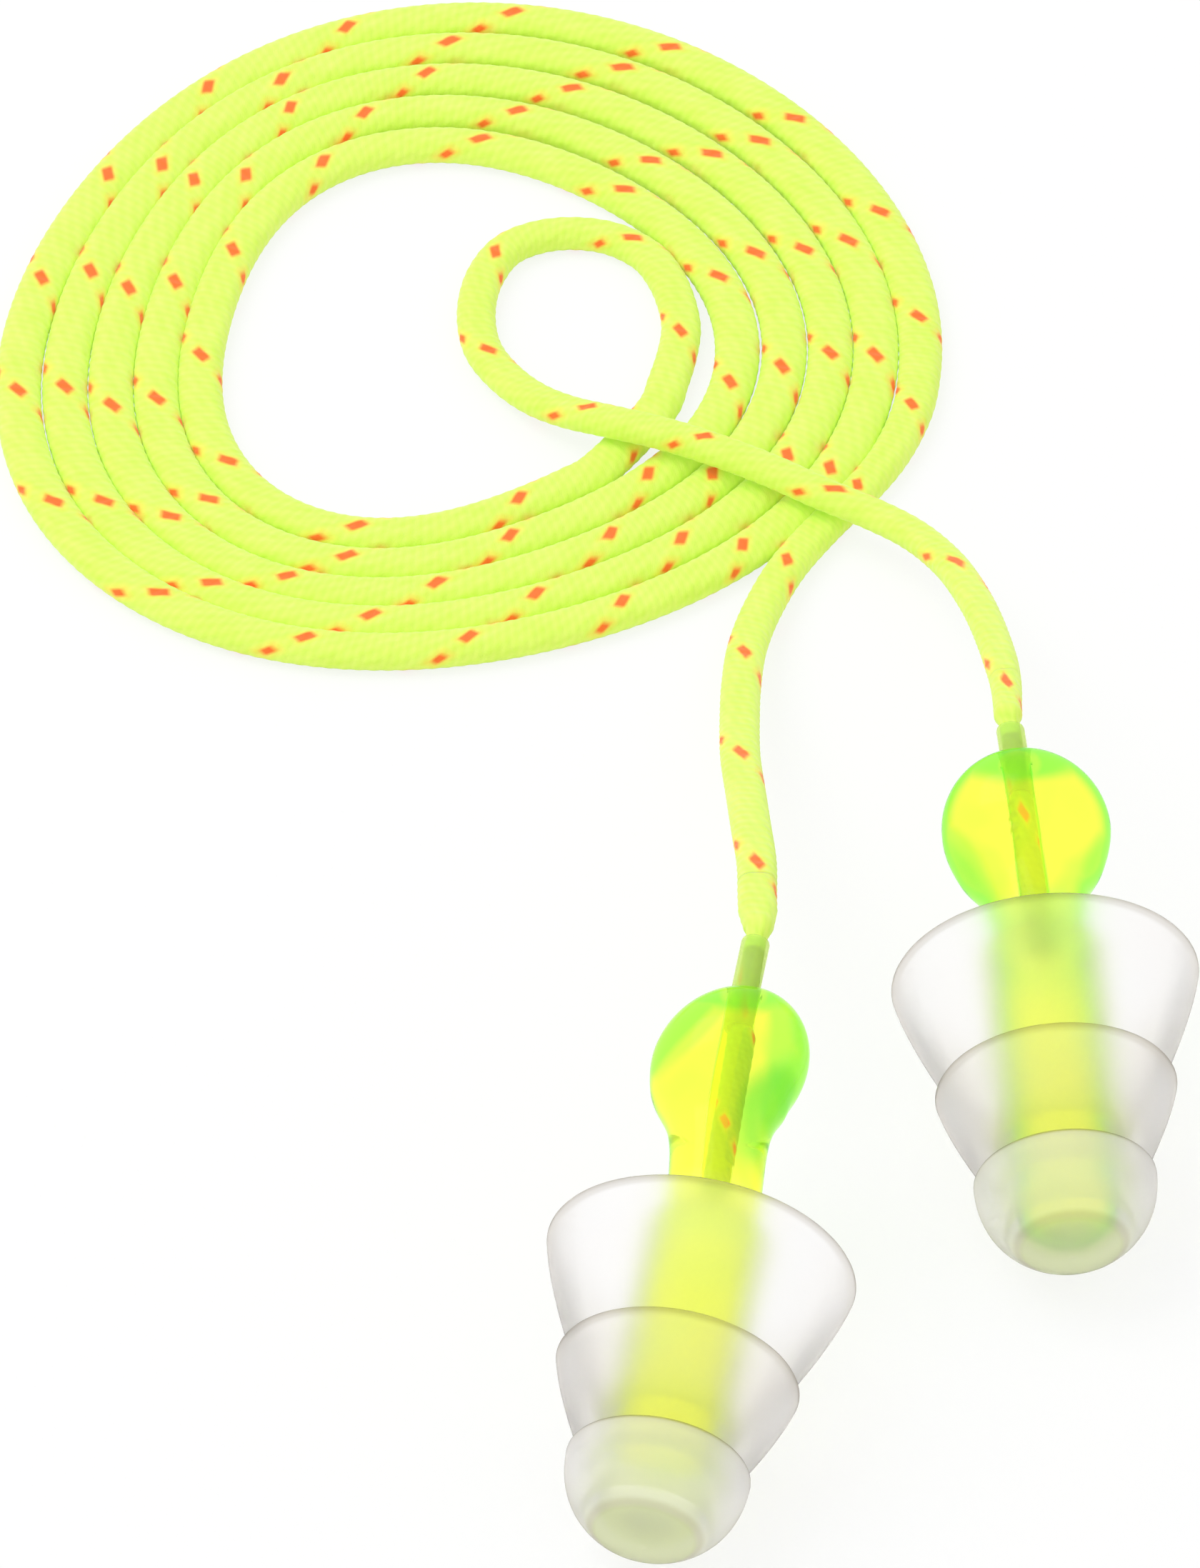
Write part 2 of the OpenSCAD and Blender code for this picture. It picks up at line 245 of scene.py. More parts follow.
coil = [coil_at(a) for a in np.arange(COIL_START, COIL_END + 1, COIL_STEP)]
LINE, ALONG = smooth_line(
    [PIVOT["left"]] + LEFT_ROUTE[::-1] + coil + RIGHT_ROUTE + [PIVOT["right"]], RING_STEP)
CORD_LENGTH = ALONG[-1]


def along_of(place):
    """How far along the cord the point nearest to a place is, in mm."""
    return ALONG[int(np.argmin(np.linalg.norm(LINE - np.array(place) / MM, axis=1)))]


# ---------------------------------------------------------------- the cord's section
COIL_FROM, COIL_TO = along_of(np.array(coil[0]) * MM), along_of(np.array(coil[-1]) * MM)
# The cord's size at its bending points, and the length over which it thickens from there
END_WIDTH, END_THICK, END_LEN = 1.2, 1.12, 3
# Width of the flat cord at places along it: (mm from the left sleeve's mouth, width)
WIDTHS = [(0, END_WIDTH), (1.5, 1.62), (8, 1.7), (COIL_FROM - 4, 1.72), (COIL_FROM + 8, 2.0),
          (COIL_TO, 1.96), (COIL_TO + 12, 1.72), (CORD_LENGTH - 42, 1.7), (CORD_LENGTH - 22, 1.55),
          (CORD_LENGTH - 6, 1.45), (CORD_LENGTH - 1, END_WIDTH), (CORD_LENGTH, END_WIDTH)]
# The section: a flat oval with OVAL below 1 for a boxier one
THICK, USUAL_WIDTH, OVAL = 1.16, 1.8, 0.8
SIDES_ROUND, FINE_SIDES = 24, 720
# The braid: a stitch's length, yarns round the cord, and the height of the relief
STITCH, YARNS, RELIEF = 0.62, 6, 0.022


def braid(u, v):
    """Height of the braid's relief, from -1 to 1, at u mm along and v turns round."""
    a, b = u / STITCH + v * YARNS, u / STITCH - v * YARNS
    return np.sin(2 * math.pi * a / 2) * np.sin(2 * math.pi * b / 2)


def even_section():
    """The cord's flat oval at evenly spaced places round it, for half a width and half a thickness of 1."""
    a = np.linspace(0, 2 * math.pi, FINE_SIDES + 1)
    c = np.sign(np.cos(a)) * np.abs(np.cos(a)) ** OVAL
    s = np.sign(np.sin(a)) * np.abs(np.sin(a)) ** OVAL
    far = np.concatenate([[0], np.cumsum(np.hypot(np.diff(c) * USUAL_WIDTH, np.diff(s) * THICK))])
    at = np.arange(SIDES_ROUND) / SIDES_ROUND * far[-1]
    return np.interp(at, far, c), np.interp(at, far, s)


EVEN_COS, EVEN_SIN = even_section()


def section_rings(line, along, width, thick):
    """Rings of the flat oval section along a line, with the braid's relief in it."""
    way = np.gradient(line, axis=0)
    way /= np.linalg.norm(way, axis=1)[:, None]
    across = np.cross(way, [0, 0, 1])
    across /= np.linalg.norm(across, axis=1)[:, None]
    over = np.cross(across, way)
    relief = RELIEF * braid(along[:, None], np.arange(SIDES_ROUND) / SIDES_ROUND)
    beside = (width[:, None] / 2 + relief) * EVEN_COS
    above = (thick[:, None] / 2 + relief) * EVEN_SIN
    return (line[:, None] + across[:, None] * beside[..., None] + over[:, None] * above[..., None]) * MM


width = np.interp(ALONG, *np.array(WIDTHS).T)
thick = np.interp(ALONG, [0, END_LEN, CORD_LENGTH - END_LEN, CORD_LENGTH],
                  [END_THICK, THICK, THICK, END_THICK])


# ---------------------------------------------------------------- materials
class Nodes:
    """The nodes of a new material or world. An input takes a plain value or another node's output."""

    def __init__(self, owner):
        owner.use_nodes = True
        self.owner, self.tree = owner, owner.node_tree
        self.tree.nodes.clear()

    def add(self, kind, inputs=None, **settings):
        node = self.tree.nodes.new(kind)
        for key, value in settings.items():
            setattr(node, key, value)
        for key, value in (inputs or {}).items():
            if isinstance(value, bpy.types.NodeSocket):
                self.tree.links.new(value, node.inputs[key])
            else:
                node.inputs[key].default_value = value
        return node

    def calc(self, operation, *values):
        return self.add("ShaderNodeMath", dict(enumerate(values)), operation=operation).outputs[0]

    def vector(self, operation, *values):
        return self.add("ShaderNodeVectorMath", dict(enumerate(values)), operation=operation).outputs

    def ramp(self, value, start, end, low=0.0, high=1.0, smooth=False):
        """low where the value is at start, high where it is at end, and even or smooth between them."""
        return self.add("ShaderNodeMapRange", {0: value, 1: start, 2: end, 3: low, 4: high},
                        interpolation_type="SMOOTHSTEP" if smooth else "LINEAR").outputs[0]

    def tint(self, amount, first, second):
        """The first colour where the amount is 0, the second where it is 1."""
        return self.add("ShaderNodeMix", {0: amount, 6: first, 7: second}, data_type="RGBA").outputs[2]

    def noise(self, place, scale, detail, **inputs):
        return self.add("ShaderNodeTexNoise", {
            "Vector": place, "Scale": scale, "Detail": detail, **inputs}).outputs[0]

    def both(self, amount, first, second):
        """A mix of two shaders."""
        return self.add("ShaderNodeMixShader", {0: amount, 1: first.outputs[0], 2: second.outputs[0]})

    def finish(self, shader, output="ShaderNodeOutputMaterial"):
        self.add(output, {"Surface": shader.outputs[0]})
        return self.owner


def new_material(name):
    return Nodes(bpy.data.materials.new(name))


def linear(r, g, b):
    """An sRGB colour, 0 to 255, as the linear colour that a shader takes."""
    parts = (c / 255 / 12.92 if c < 11 else ((c / 255 + 0.055) / 1.055) ** 2.4 for c in (r, g, b))
    return (*parts, 1)


COLOURS = {name: linear(*rgb) for name, rgb in {
    "cord_dark": (205, 240, 70), "cord_light": (232, 255, 120), "tracer": (255, 118, 40),
    # The cord's colours inside the grips are darker, more olive copies: painted shade of the bore
    "cord_dark_painted_shade": (150, 182, 40), "cord_light_painted_shade": (184, 210, 70),
    "tracer_painted_shade": (255, 96, 40), "tracer_halo": (255, 215, 80),
    # The tip's grey at a glance is painted shade
    "tip_dark": (255, 253, 251), "tip_light": (255, 255, 255), "tip_glance_shade": (226, 214, 202),
    # The tint by the stem is the stem's painted glow round the core
    "tip_stem_glow_painted": (236, 250, 140), "tip_lip": (184, 174, 156), "nose_stem_end_glow": (214, 222, 170),
    # The nose's face colour is the stem end's painted glow, and its ring colour a painted darker ring round
    # it
    "nose_painted_shade_ring": (196, 188, 168),
    # Of the resin's colours, the vivid green is painted light and the deepest green painted shade
    "resin": (255, 255, 88), "resin_patch": (215, 245, 76), "resin_pale": (222, 240, 120),
    "resin_painted_green": (160, 249, 82), "resin_painted_shade": (118, 220, 62),
    "sleeve_dark": (236, 252, 150), "sleeve_light": (246, 255, 184), "sleeve_clear": (240, 253, 200),
}.items()}
# How far light spreads below a surface: metres for red, green and blue, and a share of that
SPREAD = {"Subsurface Radius": (0.001, 0.001, 0.0004), "Subsurface Scale": 0.4}

# The image point of each fleck that places the tracer, by the turns of the tracer yarn so far
FLECKS = {0: "left_fleck_4", 1: "left_fleck_3", 2: "left_fleck_2", 3: "left_fleck_1",
          80: "right_fleck_1", 81: "right_fleck_2", 82: "right_fleck_3", 83: "right_fleck_4"}
# Between them, and inside the grips: turns of the tracer, and how far along the cord in mm it is on top
TRACER = {-3: -16.8, -2: -11.0, -1: -5.4, 6: 54.6, 13: 108.1, 17: 139.6, 20: 161, 22: 174, 32: 255.5,
          39: 307.2, 41: 323.1, 44: 343.2, 47: 367.8, 49: 381, 50: 389.4, 51: 395.4, 54: 419.8, 57: 440.8,
          59: 457.2, 64: 494.1, 73: 561.6, 79: 604.1, 84: 649.5, 85: 657}
TRACER_TURN = 7.6
# Where the top is in turns round the section, and how many flecks the tracer shows in two turns
TOP, SLOTS = 0.25, 5
# Half a fleck: where it is full and where it ends, in turns round the section and in slots along the yarn
FLECK_WIDE, FLECK_LONG = (0.04, 0.072), (0.2, 0.34)
# The orange haze round it, the least of it between slots, and its strength
HALO_WIDE, HALO_LONG, HALO_LEAST, HALO_STRENGTH = (0.05, 0.12), (0.25, 0.42), 0.2, 0.5
# How much a fleck shrinks for each turn away from the top, and the turns at which it stops shrinking
SHRINK_WIDE, SHRINK_LONG, SHRINK_REACH = 0.09, 0.6, 0.2
# Patterns along the cord and round it, or their scale, and then how much each one does to the tone
STREAK_ALONG, STREAK_ROUND, STREAK_TONE = 0.35, 9.0, 0.7
# The weave's share of the tone is painted shade: darker between the stitches, lighter on them
MOTTLE_SCALE, MOTTLE_TONE, WEAVE_SHADE = 900.0, 0.5, 0.16
FIBRE_ALONG, FIBRE_ROUND = 2.0, 14.0
# The bump's height in metres and its strength, and the cord's roughness and its painted glow for fluorescence
CORD_BUMP, CORD_BUMP_STRENGTH, CORD_ROUGH, CORD_GLOW = 0.00007, 0.5, 0.7, 0.09


def tracer_turns(along):
    """Turns of the tracer at places along the cord, for the UV map."""
    turns = sorted(TRACER)
    return np.interp(along, [TRACER[n] for n in turns], turns)


def cord_material(name, suffix=""):
    """Lime braid with an orange tracer yarn. In the UV map, u is the turns of the tracer and v goes round."""
    nodes = new_material(name)
    add, calc = nodes.add, nodes.calc
    uv = add("ShaderNodeSeparateXYZ", {0: add("ShaderNodeUVMap", uv_map="along").outputs[0]})
    u, v = uv.outputs[0], uv.outputs[1]

    def from_whole(value, shift=0.0):
        """How far a value, with a shift, is from the nearest whole number."""
        return calc("SUBTRACT", calc("FRACT", calc("ADD", value, 100.5 + shift)), 0.5)

    # The tracer goes round once a turn and shows in every second stitch of it
    off = from_whole(calc("SUBTRACT", v, u), -TOP)
    beat = from_whole(calc("MULTIPLY", calc("MULTIPLY_ADD", u, 2.0, off), SLOTS / 2))
    off, beat = calc("ABSOLUTE", off), calc("ABSOLUTE", beat)
    from_top = calc("MINIMUM", calc("ABSOLUTE", from_whole(u)), SHRINK_REACH)
    wide = nodes.ramp(calc("MULTIPLY_ADD", from_top, SHRINK_WIDE, off), *FLECK_WIDE[::-1])
    long = nodes.ramp(calc("MULTIPLY_ADD", from_top, SHRINK_LONG, beat), *FLECK_LONG[::-1])
    fleck = calc("MULTIPLY", wide, long)
    halo = calc("MULTIPLY", nodes.ramp(off, *HALO_WIDE[::-1]), nodes.ramp(beat, *HALO_LONG[::-1], HALO_LEAST))
    halo = calc("MULTIPLY", halo, HALO_STRENGTH)

    # Lengthwise streaks, mottling, and painted shade between the stitches
    streak = nodes.noise(add("ShaderNodeCombineXYZ", {
        0: calc("MULTIPLY", u, STREAK_ALONG * TRACER_TURN),
        1: calc("MULTIPLY", v, STREAK_ROUND)}).outputs[0], 1.0, 3.0)
    mottle = nodes.noise(add("ShaderNodeTexCoord").outputs["Object"], MOTTLE_SCALE, 2.0)
    stitches = calc("MULTIPLY", u, TRACER_TURN / STITCH)
    a = calc("ADD", stitches, calc("MULTIPLY", v, YARNS))
    b = calc("SUBTRACT", stitches, calc("MULTIPLY", v, YARNS))
    weave = calc("MULTIPLY", calc("SINE", calc("MULTIPLY", a, math.pi)),
                 calc("SINE", calc("MULTIPLY", b, 2 * math.pi)))
    tone = calc("ADD", calc("MULTIPLY", streak, STREAK_TONE), calc("MULTIPLY", mottle, MOTTLE_TONE))
    tone = calc("MULTIPLY_ADD", weave, WEAVE_SHADE, tone)
    base = nodes.tint(tone, COLOURS["cord_dark" + suffix], COLOURS["cord_light" + suffix])
    warm = nodes.tint(halo, base, COLOURS["tracer_halo"])
    colour = nodes.tint(fleck, warm, COLOURS["tracer" + suffix])
    fibre = nodes.noise(add("ShaderNodeCombineXYZ", {
        0: calc("MULTIPLY", a, FIBRE_ALONG), 1: calc("MULTIPLY", b, FIBRE_ROUND)}).outputs[0], 1.0, 2.0)
    height = calc("ADD", calc("MULTIPLY", weave, 0.5), calc("MULTIPLY", fibre, 0.5))
    bump = add("ShaderNodeBump", {
        "Height": height, "Strength": CORD_BUMP_STRENGTH, "Distance": CORD_BUMP})
    # A painted glow in the cord's own colour: partly the dye's fluorescence, partly light that lifts the
    # shade between turns
    return nodes.finish(add("ShaderNodeBsdfPrincipled", {
        "Base Color": colour, "Roughness": CORD_ROUGH, "Normal": bump.outputs[0],
        "Subsurface Weight": 0.25, **SPREAD,
        "Sheen Weight": 0.25, "Sheen Roughness": 0.5, "Specular IOR Level": 0.25,
        "Emission Color": colour, "Emission Strength": CORD_GLOW}))


# The share of the tips that is wholly clear, their bend of light, their roughness and its range, their milk
TIP_CLEAR, TIP_IOR, TIP_ROUGH, TIP_ROUGH_RANGE, TIP_MILK = 0.14, 1.12, 0.58, 0.1, 0.04
NOSE_MILK, NOSE_CLOUDED = 0.32, 0.1
# How strongly the tip is tinted: by painted shade at a glance, and how sharply that comes, and by the
# stem's painted glow
GLANCE_SHADE, GLANCE_POWER, STEM_GLOW = 0.24, 3.0, 0.35
# Distances in mm from the nearest lip: where its shade is full and where it ends, then the nose's face, with
# the stem end's painted glow, how softly it starts, and the painted darker ring round it and its reach
LIP_FULL, LIP_END = 0.2, 0.34
NOSE_FACE, FACE_SOFT, FACE_RING, RING_REACH = 3.68, 0.12, 3.68 - 0.1, 0.3
LIP_TINT, FACE_TINT, RING_TINT = 0.5, 0.6, 0.5
# Scales of the clouds and the grain, and the grain's bump in metres and its strength
CLOUD_SCALE, GRAIN_SCALE, TIP_BUMP, TIP_BUMP_STRENGTH = 350.0, 4000.0, 0.00003, 0.1


def tip_material():
    """Milky elastomer: clear white, greyer at a glance by painted shade, and with a thin darker lip.
    The stem's painted glow tints it round the core, and on the nose a painted glow of the stem's end has a
    painted darker ring round it. In the UV map, u is the distance from the nearest lip, and v is the share of
    the stem's painted glow, or -1 on the nose."""
    nodes = new_material("tip_elastomer")
    add, calc = nodes.add, nodes.calc
    marks = add("ShaderNodeSeparateXYZ", {0: add("ShaderNodeUVMap", uv_map="along").outputs[0]})
    from_lip, mark = marks.outputs[0], marks.outputs[1]
    place = add("ShaderNodeTexCoord").outputs["Object"]
    cloud, grain = nodes.noise(place, CLOUD_SCALE, 3.0), nodes.noise(place, GRAIN_SCALE, 2.0)
    glance = add("ShaderNodeLayerWeight", {"Blend": 0.5}).outputs["Facing"]
    milk = calc("MAXIMUM", calc("MULTIPLY", mark, -1.0), 0.0)

    colour = nodes.tint(cloud, COLOURS["tip_dark"], COLOURS["tip_light"])
    # Painted shade: greyer at a glance
    glance_shade = calc("MULTIPLY", calc("POWER", glance, GLANCE_POWER), GLANCE_SHADE)
    colour = nodes.tint(glance_shade, colour, COLOURS["tip_glance_shade"])
    # Painted glow of the stem inside, round the core
    stem_glow_painted = calc("MULTIPLY", calc("MAXIMUM", mark, 0.0), STEM_GLOW)
    colour = nodes.tint(stem_glow_painted, colour, COLOURS["tip_stem_glow_painted"])
    colour = nodes.tint(nodes.ramp(from_lip, LIP_END, LIP_FULL, high=LIP_TINT), colour, COLOURS["tip_lip"])
    # On the nose: the painted glow of the stem's end, and a painted darker ring round it
    face = nodes.ramp(from_lip, NOSE_FACE - FACE_SOFT, NOSE_FACE + FACE_SOFT, high=FACE_TINT, smooth=True)
    colour = nodes.tint(calc("MULTIPLY", face, milk), colour, COLOURS["nose_stem_end_glow"])
    from_ring = calc("ABSOLUTE", calc("SUBTRACT", from_lip, FACE_RING))
    painted_ring_shade = nodes.ramp(from_ring, 0.0, RING_REACH, RING_TINT, 0.0, smooth=True)
    colour = nodes.tint(calc("MULTIPLY", painted_ring_shade, milk), colour, COLOURS["nose_painted_shade_ring"])

    rough = calc("MULTIPLY_ADD", cloud, TIP_ROUGH_RANGE, TIP_ROUGH - TIP_ROUGH_RANGE / 2)
    bump = add("ShaderNodeBump", {"Height": grain, "Strength": TIP_BUMP_STRENGTH, "Distance": TIP_BUMP})
    silicone = add("ShaderNodeBsdfPrincipled", {
        "Base Color": colour, "Roughness": rough, "Normal": bump.outputs[0], "IOR": TIP_IOR,
        "Transmission Weight": calc("MULTIPLY_ADD", milk, -NOSE_MILK, 1 - TIP_MILK)})
    clear = add("ShaderNodeBsdfTransparent", {"Color": colour})
    return nodes.finish(nodes.both(calc("MULTIPLY_ADD", milk, -NOSE_CLOUDED, TIP_CLEAR), silicone, clear))


# The grips' bend of light and gloss, the painted glow of their solid share for fluorescence, and that share
GRIP_IOR, GRIP_ROUGH, GRIP_GLOW, GRIP_SOLID = 1.06, 0.03, 0.3, 0.2
# Where a bulb shows green, painted light on set sides of it: ways from its middle in the plug's axes, each
# with the cosines where the green starts and is full, and its strength
FLANKS = {
    "left": (((-0.8, -0.35, 0.49), 0.47, 0.6, 0.8), ((0, -0.58, 0.82), 0.6, 0.74, 0.95),
             ((0.97, -0.15, 0.21), 0.52, 0.68, 0.9), ((0.65, 0.74, -0.16), 0.54, 0.76, 0.95)),
    "right": (((0, -0.58, 0.82), 0.62, 0.78, 0.95), ((0.77, 0.37, -0.53), 0.62, 0.8, 0.75),
              ((-0.8, 0.35, -0.5), 0.63, 0.78, 0.75))}
# Painted shade, a deeper green on one flank of each bulb: its way, where it starts and is full, its strength
SHADED_FLANK = {"left": ((0.73, -0.3, -0.62), 0.84, 0.98, 0.9), "right": ((-0.62, -0.23, -0.75), 0.88, 1.0, 0.3)}
# How far a bulb's surface turns away before its rim shows painted green, and until it is all green
RIM = {"left": (0.62, 0.95), "right": (0.36, 0.66)}
# The stem is paler above the mouth of the tip's core: heights in mm from the first rim
PALE_FROM, PALE_FULL, PALE_END, PALE_TINT = -0.6, 1.0, NECK_POS + 1.2, 0.75
# The noise that makes pale green patches and makes the borders of the green uneven
FLOW_SCALE, PATCH_FROM, PATCH_FULL, PATCH_TINT, WOBBLE = 260.0, 0.5, 0.68, 0.3, 0.16
# The bore's wall, nearer the axis than this in mm, takes no green
BORE_WITHIN, BORE_PAST = 0.7, 0.9


def grip_material(side):
    """Clear fluorescent resin: yellow straight through, with painted light in vivid green at a glance and on
    set sides of the bulb, and painted shade in a deeper green on one flank.
    """
    nodes = new_material(f"{side}_grip_resin")
    add, calc = nodes.add, nodes.calc
    place = add("ShaderNodeTexCoord").outputs["Object"]
    flow = nodes.noise(place, FLOW_SCALE, 1.0, Distortion=0.6)
    wobble = calc("MULTIPLY_ADD", flow, WOBBLE, -WOBBLE / 2)
    body = nodes.tint(nodes.ramp(flow, PATCH_FROM, PATCH_FULL, high=PATCH_TINT),
                      COLOURS["resin"], COLOURS["resin_patch"])

    turn, start = PLUG[side].to_3x3(), PLUG[side].translation
    axis = turn @ Vector((0, 0, 1))
    height = calc("MULTIPLY_ADD", nodes.vector("DOT_PRODUCT", place, axis)["Value"], 1 / MM,
                  -axis.dot(start) / MM)
    rise = nodes.ramp(height, PALE_FROM, PALE_FULL, high=PALE_TINT, smooth=True)
    past = nodes.ramp(height, NECK_POS, PALE_END, 1.0, 0.0, smooth=True)
    body = nodes.tint(calc("MULTIPLY", rise, past), body, COLOURS["resin_pale"])

    bulb_x, bulb_z = bulb_place(side)
    from_middle = nodes.vector("SUBTRACT", place, local(side, bulb_x, 0, bulb_z))[0]
    from_axis = nodes.vector("LENGTH", nodes.vector("CROSS_PRODUCT", from_middle, axis)[0])["Value"]
    outside = nodes.ramp(from_axis, BORE_WITHIN * MM, BORE_PAST * MM)
    from_middle = nodes.vector("NORMALIZE", from_middle)[0]

    def flank(way, start, full, strength):
        towards = nodes.vector("DOT_PRODUCT", from_middle, turn @ Vector(way).normalized())["Value"]
        patch = nodes.ramp(calc("ADD", towards, wobble), start, full, high=strength, smooth=True)
        return calc("MULTIPLY", patch, outside)

    # Painted light: green at the rim at a glance, and on set sides of the bulb
    glance = add("ShaderNodeLayerWeight", {"Blend": 0.5}).outputs["Facing"]
    green = nodes.ramp(glance, *RIM[side], smooth=True)
    for numbers in FLANKS[side]:
        green = calc("MAXIMUM", green, flank(*numbers))
    colour = nodes.tint(green, body, COLOURS["resin_painted_green"])
    # Painted shade in a deeper green on one flank
    colour = nodes.tint(flank(*SHADED_FLANK[side]), colour, COLOURS["resin_painted_shade"])
    glass = add("ShaderNodeBsdfPrincipled", {
        "Base Color": colour, "Roughness": GRIP_ROUGH, "IOR": GRIP_IOR, "Transmission Weight": 1.0,
        "Specular Tint": colour})
    # A painted glow in the resin's colour, for its fluorescence
    glow = add("ShaderNodeBsdfPrincipled", {
        "Base Color": colour, "Roughness": 0.1, "Emission Color": colour, "Emission Strength": GRIP_GLOW})
    return nodes.finish(nodes.both(GRIP_SOLID, glass, glow))


# The share of a sleeve that is wholly clear, and the rest's bend of light and roughness
SLEEVE_CLEAR, SLEEVE_IOR, SLEEVE_ROUGH = 0.55, 1.15, 0.25


def sleeve_material():
    """Pale translucent tube."""
    nodes = new_material("sleeve_tube")
    cloud = nodes.noise(nodes.add("ShaderNodeTexCoord").outputs["Object"], MOTTLE_SCALE, 2.0)
    tube = nodes.add("ShaderNodeBsdfPrincipled", {
        "Base Color": nodes.tint(cloud, COLOURS["sleeve_dark"], COLOURS["sleeve_light"]),
        "Roughness": SLEEVE_ROUGH, "IOR": SLEEVE_IOR, "Transmission Weight": 0.4,
        "Subsurface Weight": 0.2, **SPREAD})
    clear = nodes.add("ShaderNodeBsdfTransparent", {"Color": COLOURS["sleeve_clear"]})
    return nodes.finish(nodes.both(SLEEVE_CLEAR, tube, clear))


# The second copy of the cord takes the darker colours, painted shade for the cord inside the grips
CORD, CORD_PAINTED_SHADE = cord_material("cord_braid"), cord_material("cord_painted_shade", "_painted_shade")
TIP, SLEEVE = tip_material(), sleeve_material()


def dress(obj, material, body=None):
    """Gives a piece its material and the body that it rides on."""
    obj.data.materials.append(material)
    if body:
        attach(obj, body)
    return obj


# ---------------------------------------------------------------- the cord
# The length of each end that is built as a piece of its own, and how far it laps over the main piece, in mm
NECK, LAP = 4.0, 0.05


def cut(start, end):
    """A slice for the rings between two places along the cord, in mm."""
    keep = (ALONG >= start) & (ALONG <= end)
    return slice(int(np.argmax(keep)), int(len(keep) - np.argmax(keep[::-1])))


all_rings = section_rings(LINE, ALONG, width, thick)
main = cut(NECK - LAP, CORD_LENGTH - NECK + LAP)
ring_points = all_rings.reshape(-1, 3)
cord_tree = BVHTree.FromPolygons(ring_points.tolist(), tube_faces(len(all_rings), SIDES_ROUND))
for turns, name in FLECKS.items():
    TRACER[turns] = along_of(place_at(POINTS[name], cord_tree, ring_points))
cord = dress(rings_mesh("cord", all_rings[main], tracer_turns(ALONG[main])), CORD, "cord")
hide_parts("cord_coil", "cord_left_tail", "cord_right_tail")


def local(side, x, y, z):
    """A place in a plug's own axes, in mm, as a place in the row frame."""
    return PLUG[side] @ (Vector((x, y, z)) * MM)


# The grips: the flattened bulb, its top above its middle, its neck and stem, in mm
BULB_R, BULB_HALF, BULB_LEAN, BULB_BLEND = 3.58, 2.95, math.radians(40.5), 4.4
BULB_TOP, STEM_R, STEM_LEN, NECK_START = 3.275, 1.95, 19.9, 1.5
# How each grip lies in its tip: the bulb's height, the neck's bend, and the turn about the stem
BULB_POS = {"left": 9.9, "right": 7.6}
BEND = {"left": math.radians(-4.4), "right": math.radians(-1.8)}
ROLL = {"left": 0, "right": math.radians(-90)}
# The sleeves, and the cord inside them and inside the grips
SLEEVE_R, SLEEVE_HOLE_R, SLEEVE_SEAT = 0.6, 0.45, 1.5
SLEEVE_LEAN = {"left": 0, "right": math.radians(-2.7)}
SLEEVE_OUT = {"left": 3.1, "right": 2.1}
CORD_DEPTH, IN_SLEEVE_WIDTH, IN_GRIP_WIDTH = 6.5, 2 * (SLEEVE_HOLE_R - 0.03), 1.1
# Where the cord narrows at a sleeve's mouth and widens again past the sleeve, in mm
SLIM_FROM, SLIM_TO, WIDEN_LEN = -0.1, 0.45, 0.3


def bulb_place(side):
    """How far aside and how high a bulb's middle is in its plug's axes, in mm."""
    far = BULB_POS[side] - NECK_POS
    return far * math.sin(BEND[side]), NECK_POS + far * math.cos(BEND[side])


def aside(side, z):
    """How far a grip's middle is beside its tip's axis at a height."""
    bulb_x, bulb_z = bulb_place(side)
    t = np.clip((z - NECK_START) / (bulb_z - NECK_START), 0, 1)
    return bulb_x * t * t * (3 - 2 * t) + math.tan(SLEEVE_LEAN[side]) * np.clip(z - bulb_z, 0, None)


def in_bore(side, height):
    """A place in the cord's bore, height mm above the bulb's middle, in the row frame and in mm."""
    z = bulb_place(side)[1] + height
    return np.array(local(side, float(aside(side, np.array(z))), 0, z)) / MM


def in_order(side, *rows):
    """Rows that run from the main cord to the plug, turned to run as the cord's length does."""
    return [row[::-1] if side == "left" else row for row in rows]


